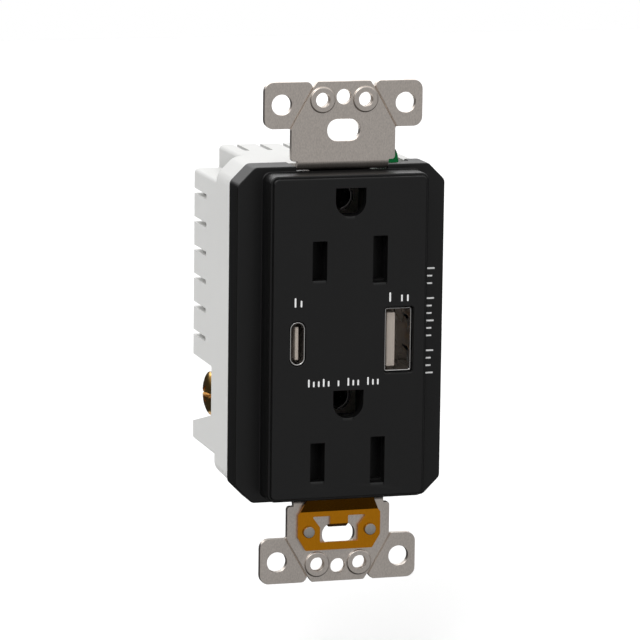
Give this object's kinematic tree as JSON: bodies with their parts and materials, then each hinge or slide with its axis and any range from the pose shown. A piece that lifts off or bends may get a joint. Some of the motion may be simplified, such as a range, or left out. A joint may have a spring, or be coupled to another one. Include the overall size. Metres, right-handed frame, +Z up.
{
  "type": "duplex wall outlet",
  "caption": "Duplex wall outlet with grounded blade sockets, charging ports, a black decorator face, a white rear body and a steel mounting strap with break-off ears.",
  "frame": {"origin": "middle of the device on the wall plane, which is the back face of the strap's ends", "axes": "+X right, +Z up with the ground holes above the blades, front faces -Y, rear body runs into the wall along +Y"},
  "size_m": [0.0436, 0.0431, 0.1032],
  "materials": {
    "cover_plastic": "black moulded thermoplastic, fine satin texture",
    "body_plastic": "light grey-white moulded thermoplastic, satin",
    "strap_steel": "zinc-plated stamped steel, lightly brushed",
    "fastener_steel": "zinc-plated steel",
    "spring_steel": "spring steel, drawn or formed, bare",
    "clip_brass": "stamped brass, satin",
    "screw_brass": "brass-plated terminal screw",
    "screw_nickel": "nickel-plated terminal screw",
    "screw_green": "green dyed steel",
    "contact_brass": "stamped contact brass, bare",
    "shutter_plastic": "black low-friction plastic",
    "port_nickel": "nickel-plated port shell",
    "port_plastic": "beige port tongue",
    "board": "glass-epoxy circuit board with green mask",
    "ferrite": "sintered ferrite",
    "winding_tape": "yellow winding tape",
    "component_black": "moulded component body",
    "fibre": "vulcanised fibre sheet"
  },
  "bodies": {
    "root": {"front_cover": "cover_plastic", "rear_body": "body_plastic", "mounting_strap": "strap_steel", "ground_clip": "clip_brass", "clip_rivet_left": "fastener_steel", "clip_rivet_right": "fastener_steel", "hot_bus_bar": "contact_brass", "neutral_bus_bar": "contact_brass", "insulator_plate": "fibre", "usb_a_shell": "port_nickel", "usb_a_tongue": "port_plastic", "usb_c_shell": "port_nickel", "usb_c_tongue": "port_plastic", "port_board": "board", "power_board": "board", "transformer_core": "ferrite", "transformer_winding": "winding_tape", "choke_core": "ferrite", "fuse": "port_nickel", "rectifier": "component_black", "controller_chip": "component_black", "board_link_header": "component_black", "hot_board_lead": "contact_brass", "neutral_board_lead": "contact_brass", "input_capacitor_upper": "component_black", "input_capacitor_lower": "component_black", "output_capacitor_left": "component_black", "output_capacitor_right": "component_black", "assembly_screw_upper_left": "fastener_steel", "assembly_screw_upper_right": "fastener_steel", "assembly_screw_lower_left": "fastener_steel", "assembly_screw_lower_right": "fastener_steel", "shutter_base_upper": "shutter_plastic", "shutter_spring_upper": "spring_steel", "hot_contact_upper": "contact_brass", "neutral_contact_upper": "contact_brass", "ground_contact_upper": "spring_steel", "shutter_base_lower": "shutter_plastic", "shutter_spring_lower": "spring_steel", "hot_contact_lower": "contact_brass", "neutral_contact_lower": "contact_brass", "ground_contact_lower": "spring_steel", "usb_a_contact_1": "contact_brass", "usb_a_contact_2": "contact_brass", "usb_a_contact_3": "contact_brass", "usb_a_contact_4": "contact_brass"},
    "upper_shutter": {"shutter_upper": "shutter_plastic"},
    "lower_shutter": {"shutter_lower": "shutter_plastic"},
    "hot_clamp": {"hot_clamp_plate": "fastener_steel"},
    "hot_screw": {"hot_terminal_screw": "screw_brass"},
    "neutral_clamp": {"neutral_clamp_plate": "fastener_steel"},
    "neutral_screw": {"neutral_terminal_screw": "screw_nickel"},
    "ground_terminal": {"ground_screw": "screw_green"}
  },
  "joints": [
    {"name": "upper_shutter_slide", "type": "slide", "parent": "root", "child": "upper_shutter", "axis": [-1, 0, 0], "range_m": [0, 0.004], "stiffness_N_per_m": 40, "springref_m": -0.004, "deforming": ["shutter_spring_upper"]},
    {"name": "lower_shutter_slide", "type": "slide", "parent": "root", "child": "lower_shutter", "axis": [-1, 0, 0], "range_m": [0, 0.004], "stiffness_N_per_m": 40, "springref_m": -0.004, "deforming": ["shutter_spring_lower"]},
    {"name": "hot_clamp_slide", "type": "slide", "parent": "root", "child": "hot_clamp", "axis": [1, 0, 0], "range_m": [0, 0.00196]},
    {"name": "hot_screw_turn", "type": "hinge", "parent": "hot_clamp", "child": "hot_screw", "pos_m": [-0.0183, 0.0286, -0.0173], "axis": [1, 0, 0], "range_deg": [0, 890]},
    {"name": "neutral_clamp_slide", "type": "slide", "parent": "root", "child": "neutral_clamp", "axis": [-1, 0, 0], "range_m": [0, 0.00196]},
    {"name": "neutral_screw_turn", "type": "hinge", "parent": "neutral_clamp", "child": "neutral_screw", "pos_m": [0.0183, 0.0286, -0.0173], "axis": [-1, 0, 0], "range_deg": [0, 890]},
    {"name": "ground_screw_turn", "type": "hinge", "parent": "root", "child": "ground_terminal", "pos_m": [0.0105, 0.00565, 0.0336], "axis": [-1, 0, 0], "range_deg": [-1080, 0]}
  ],
  "couplings": [
    {"joint": "hot_screw_turn", "follows": "hot_clamp_slide", "rad_per_m": 7915.8},
    {"joint": "neutral_screw_turn", "follows": "neutral_clamp_slide", "rad_per_m": 7915.8}
  ]
}
